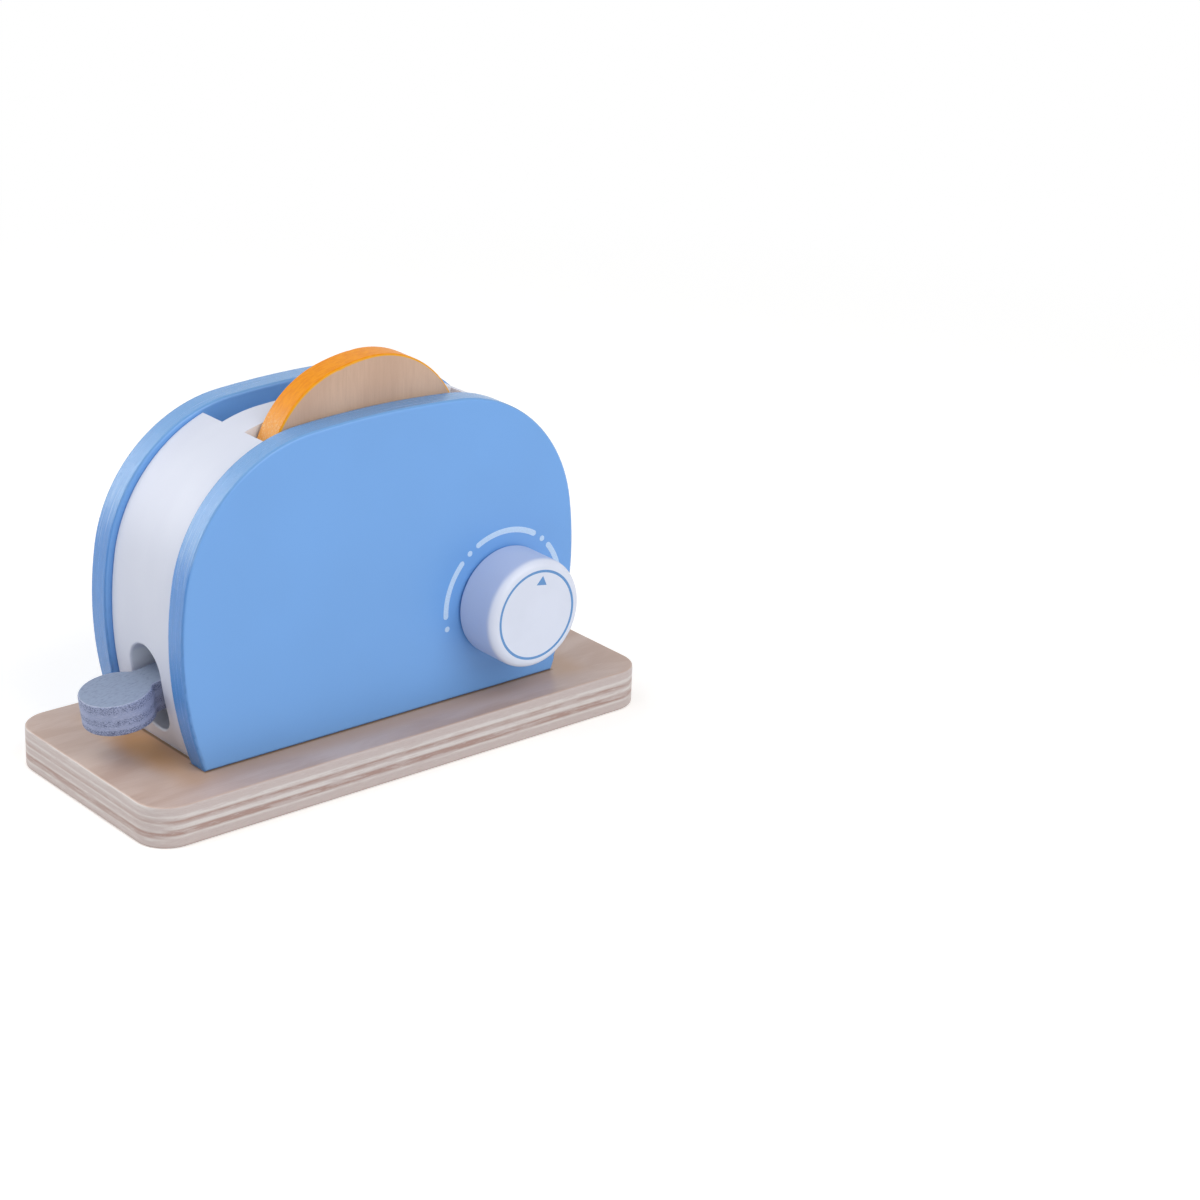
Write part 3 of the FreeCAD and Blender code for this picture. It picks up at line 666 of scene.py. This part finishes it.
class TOASTER_OT_base(bpy.types.Operator):
    """Finish the plywood base board"""

    bl_idname = "toaster.base"
    bl_label = "Base board"
    bl_options = {"REGISTER", "UNDO"}

    def execute(self, context):
        dress(plywood_board(context.scene.toaster_wood), "base_board")
        return {"FINISHED"}


class TOASTER_OT_panels(bpy.types.Operator):
    """Paint both side panels"""

    bl_idname = "toaster.panels"
    bl_label = "Side panels"
    bl_options = {"REGISTER", "UNDO"}

    def execute(self, context):
        dress(blue_panel_paint(context.scene.toaster_paint), "front_panel", "back_panel")
        return {"FINISHED"}


class TOASTER_OT_core(bpy.types.Operator):
    """Paint the end blocks and the divider"""

    bl_idname = "toaster.core"
    bl_label = "End blocks and divider"
    bl_options = {"REGISTER", "UNDO"}

    def execute(self, context):
        dress(
            white_block_paint(context.scene.toaster_paint),
            "left_end_block", "right_end_block", "slot_divider")
        return {"FINISHED"}


class TOASTER_OT_lever(bpy.types.Operator):
    """Stain the lever"""

    bl_idname = "toaster.lever"
    bl_label = "Lever"
    bl_options = {"REGISTER", "UNDO"}

    def execute(self, context):
        dress(lever_stain(context.scene.toaster_paint), "lever")
        return {"FINISHED"}


class TOASTER_OT_knob(bpy.types.Operator):
    """Enamel the knob and print its ring and pointer"""

    bl_idname = "toaster.knob"
    bl_label = "Knob"
    bl_options = {"REGISTER", "UNDO"}

    RING_STEPS = 180
    # how far the pointer's bevel comes in, as a share of the way to its middle
    POINTER_BEVEL = 0.04

    def execute(self, context):
        marks, paint = context.scene.toaster_marks, context.scene.toaster_paint
        dress(knob_paint(paint), "knob")
        ink = printed_ink("knob_ink", paint.knob_mark)
        film = marks.film / MM
        self.print_ring(marks, ink, film)
        self.print_pointer(marks, ink, film)
        return {"FINISHED"}

    def print_ring(self, marks, ink, film):
        """Closed ring of thin print on the knob's face."""
        mesh = bmesh.new()
        radius, half = marks.ring_radius / MM, marks.ring_width / MM / 2
        angles = [2 * math.pi * i / self.RING_STEPS for i in range(self.RING_STEPS + 1)]
        skin_rings(mesh, [
            print_section((KNOB_X, KNOB_Z), radius, angle, half, film, KNOB_FRONT, film)
            for angle in angles])
        new_piece("knob_ring_print", mesh, ink, "knob")

    def print_pointer(self, marks, ink, film):
        """Small triangle that points outwards."""
        mesh = bmesh.new()
        angle = marks.pointer_angle
        out = Vector((math.cos(angle), 0, math.sin(angle)))
        side = Vector((-math.sin(angle), 0, math.cos(angle)))
        middle = Vector((KNOB_X, KNOB_FRONT, KNOB_Z)) + out * (marks.pointer_radius / MM)
        tall, wide = marks.pointer_height / MM / 2, marks.pointer_width / MM / 2
        foot = middle - out * tall
        tips = [middle + out * tall, foot + side * wide, foot - side * wide]
        centre = sum(tips, Vector()) / 3
        rings = []
        for inset, rise in ((0, -film), (0, 0), (self.POINTER_BEVEL, film)):
            rings.append([tip + (centre - tip) * inset - Vector((0, rise, 0)) for tip in tips])
        rows = skin_rings(mesh, rings)
        mesh.faces.new(rows[-1])
        mesh.faces.new(rows[0])
        new_piece("knob_pointer_print", mesh, ink, "knob")


class TOASTER_OT_dial(bpy.types.Operator):
    """Print the browning marks round the knob"""

    bl_idname = "toaster.dial"
    bl_label = "Dial marks"
    bl_options = {"REGISTER", "UNDO"}

    # the dial's middle, in degrees from +X towards +Z
    MIDDLE = 88.3
    # each mark is a stroke between two angles, in degrees from the middle
    STROKES = {
        "dial_arc_top": (-29, 29),
        "dial_arc_left": (49.3, 94.0), "dial_arc_right": (-94.0, -49.3),
        "dial_dot_upper_left": (38.8, 38.8), "dial_dot_upper_right": (-39.8, -39.8),
        "dial_dot_lower_left": (105.0, 105.0), "dial_dot_lower_right": (-105.0, -105.0),
    }

    def execute(self, context):
        marks = context.scene.toaster_marks
        ink = printed_ink("dial_ink", context.scene.toaster_paint.dial_mark)
        radius, width = marks.dial_radius / MM, marks.dial_width / MM
        for name, (start, end) in self.STROKES.items():
            mesh = bmesh.new()
            printed_stroke(
                mesh, (KNOB_X, KNOB_Z), radius, math.radians(self.MIDDLE + start),
                math.radians(self.MIDDLE + end), width, PANEL_FRONT, marks.film / MM)
            new_piece(name, mesh, ink, "toaster_body")
        return {"FINISHED"}


class TOASTER_OT_toast(bpy.types.Operator):
    """Finish the slice of toast"""

    bl_idname = "toaster.toast"
    bl_label = "Toast"
    bl_options = {"REGISTER", "UNDO"}

    def execute(self, context):
        dress(toast_finish(context.scene.toaster_toast), "toast_slice")
        return {"FINISHED"}


class TOASTER_OT_hardware(bpy.types.Operator):
    """Finish the dowels, washers and screws"""

    bl_idname = "toaster.hardware"
    bl_label = "Dowels, washers and screws"
    bl_options = {"REGISTER", "UNDO"}

    def execute(self, context):
        dress(
            bare_dowel_wood(context.scene.toaster_wood), "lift_dowel", "lever_axle", "knob_shaft",
            "divider_dowels", "front_panel_dowels", "back_panel_dowels")
        dress(dark_nylon(), "knob_washer", "lever_washers")
        dress(zinc_steel(), "base_screws", "knob_screw", "knob_retainer")
        return {"FINISHED"}


class TOASTER_OT_stage(bpy.types.Operator):
    """Set up the floor, the soft lamps and the camera"""

    bl_idname = "toaster.stage"
    bl_label = "Studio"
    bl_options = {"REGISTER", "UNDO"}

    # where each lamp hangs, and the side of its square, in metres; its power is the setting of its name
    LAMPS = {
        "back_lamp": ((-0.76, 0.53, 1.00), 1.5),
        "front_lamp": ((0.20, -1.00, 0.80), 1.0),
        "low_lamp": ((-0.85, 1.05, 0.66), 1.0),
    }
    LAMP_TARGET = Vector((0, 0, 0.06))
    # half the floor's width, and how far it lies under the toy, in metres
    FLOOR_HALF_WIDTH = 6.0
    FLOOR_GAP = 0.0001
    # the floor as the toy sees it, and as the eye does
    FLOOR_MATTE = (0.82, 0.82, 0.82, 1.0)
    FLOOR_PALE = (0.91, 0.89, 0.86, 1.0)
    # distances from the middle between which the floor turns white, in metres
    FADE_START, FADE_END = 0.30, 0.80
    WHITE = (1.0, 1.0, 1.0, 1.0)
    SKY = (0.95, 0.97, 1.0, 1.0)
    # width of the camera's frame, in millimetres, and the nearest thing it sees, in metres
    FRAME_WIDTH = 36.0
    NEAREST = 0.01

    def execute(self, context):
        scene = context.scene
        stage = scene.toaster_stage
        scene.view_settings.view_transform = "Standard"
        self.light_world(scene, stage)
        self.lay_floor(stage)
        for name, (place, size) in self.LAMPS.items():
            lamp = self.hang_lamp(name, place, size, getattr(stage, name))
            # the low lamp shows only in gloss, as the light along the rims
            lamp.visible_diffuse = name != "low_lamp"
        self.place_camera(scene, stage)
        return {"FINISHED"}

    def light_world(self, scene, stage):
        """Even grey-blue light all round, with white behind the object."""
        world = bpy.data.worlds.new("studio")
        world.use_nodes = True
        scene.world = world
        nodes = Nodes(world.node_tree)
        nodes.tree.nodes.clear()
        light = nodes.node("ShaderNodeBackground", sockets={
            "Color": self.SKY, "Strength": stage.ambient})
        white = nodes.node("ShaderNodeBackground", sockets={"Color": self.WHITE})
        shown = nodes.blend(nodes.seen_directly(), light, white)
        nodes.node("ShaderNodeOutputWorld", sockets={0: shown})

    def lay_floor(self, stage):
        """White floor that keeps a soft shadow round the toy."""
        mesh = bmesh.new()
        bmesh.ops.create_grid(mesh, x_segments=1, y_segments=1, size=self.FLOOR_HALF_WIDTH)
        data = bpy.data.meshes.new("floor")
        mesh.to_mesh(data)
        mesh.free()
        floor = bpy.data.objects.new("floor", data)
        floor.location.z = -self.FLOOR_GAP
        bpy.context.scene.collection.objects.link(floor)
        material = bpy.data.materials.new("studio_floor")
        material.use_nodes = True
        nodes = Nodes(material.node_tree)
        nodes.tree.nodes.clear()
        matte = nodes.node("ShaderNodeBsdfDiffuse", sockets={"Color": self.FLOOR_MATTE})
        pale = nodes.node("ShaderNodeBsdfDiffuse", sockets={"Color": self.FLOOR_PALE})
        glow = nodes.node("ShaderNodeEmission", sockets={"Strength": stage.floor_glow})
        near = nodes.node("ShaderNodeAddShader", sockets={0: pale, 1: glow})
        far = nodes.node("ShaderNodeEmission", sockets={"Strength": 1.0})
        distance = nodes.length(nodes.node("ShaderNodeTexCoord", output="Object"))
        seen = nodes.blend(nodes.step(distance, self.FADE_START, self.FADE_END), near, far)
        shown = nodes.blend(nodes.seen_directly(), matte, seen)
        nodes.node("ShaderNodeOutputMaterial", sockets={0: shown})
        data.materials.append(material)

    def hang_lamp(self, name, place, size, power):
        """Square soft lamp that looks at the toy."""
        data = bpy.data.lights.new(name, "AREA")
        data.shape = "SQUARE"
        data.size = size
        data.energy = power
        lamp = bpy.data.objects.new(name, data)
        bpy.context.scene.collection.objects.link(lamp)
        lamp.location = place
        lamp.rotation_euler = (self.LAMP_TARGET - Vector(place)).to_track_quat("-Z", "Y").to_euler()
        return lamp

    def place_camera(self, scene, stage):
        """Camera by heading, drop and roll."""
        data = bpy.data.cameras.new("camera")
        data.sensor_width = self.FRAME_WIDTH
        data.lens = stage.lens
        data.clip_start = self.NEAREST
        camera = bpy.data.objects.new("camera", data)
        scene.collection.objects.link(camera)
        heading, drop, roll = stage.heading, stage.drop, stage.roll
        ahead = Vector((
            math.sin(heading) * math.cos(drop), math.cos(heading) * math.cos(drop), -math.sin(drop)))
        right = Vector((math.cos(heading), -math.sin(heading), 0))
        up = right.cross(ahead)
        rolled_right = right * math.cos(roll) + up * math.sin(roll)
        rolled_up = up * math.cos(roll) - right * math.sin(roll)
        turn = Matrix((rolled_right, rolled_up, -ahead)).transposed()
        camera.matrix_world = Matrix.Translation(stage.camera_place) @ turn.to_4x4()
        scene.camera = camera


class TOASTER_PT_sidebar(bpy.types.Panel):
    """Buttons for every piece of the toaster"""

    bl_idname = "TOASTER_PT_sidebar"
    bl_label = "Toaster"
    bl_space_type = "VIEW_3D"
    bl_region_type = "UI"
    bl_category = "Toaster"

    def draw(self, context):
        for operator in OPERATORS:
            self.layout.operator(operator.bl_idname)
        for name in SETTINGS:
            group = getattr(context.scene, name)
            box = self.layout.box()
            for key in group.__annotations__:
                box.prop(group, key)


SETTINGS = {
    "toaster_wood": TOASTER_PG_wood,
    "toaster_paint": TOASTER_PG_paint,
    "toaster_toast": TOASTER_PG_toast,
    "toaster_marks": TOASTER_PG_marks,
    "toaster_stage": TOASTER_PG_stage,
}
OPERATORS = (
    TOASTER_OT_base, TOASTER_OT_panels, TOASTER_OT_core, TOASTER_OT_lever, TOASTER_OT_knob,
    TOASTER_OT_dial, TOASTER_OT_toast, TOASTER_OT_hardware, TOASTER_OT_stage)


def register():
    """Register the settings, the operators and the sidebar."""
    for name, group in SETTINGS.items():
        bpy.utils.register_class(group)
        setattr(bpy.types.Scene, name, bpy.props.PointerProperty(type=group))
    for operator in OPERATORS:
        bpy.utils.register_class(operator)
    bpy.utils.register_class(TOASTER_PT_sidebar)


def unregister():
    """Take back what register did."""
    bpy.utils.unregister_class(TOASTER_PT_sidebar)
    for operator in reversed(OPERATORS):
        bpy.utils.unregister_class(operator)
    for name, group in SETTINGS.items():
        delattr(bpy.types.Scene, name)
        bpy.utils.unregister_class(group)


def main():
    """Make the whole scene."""
    register()
    for operator in OPERATORS:
        family, action = operator.bl_idname.split(".")
        getattr(getattr(bpy.ops, family), action)()


if __name__ == "__main__":
    main()
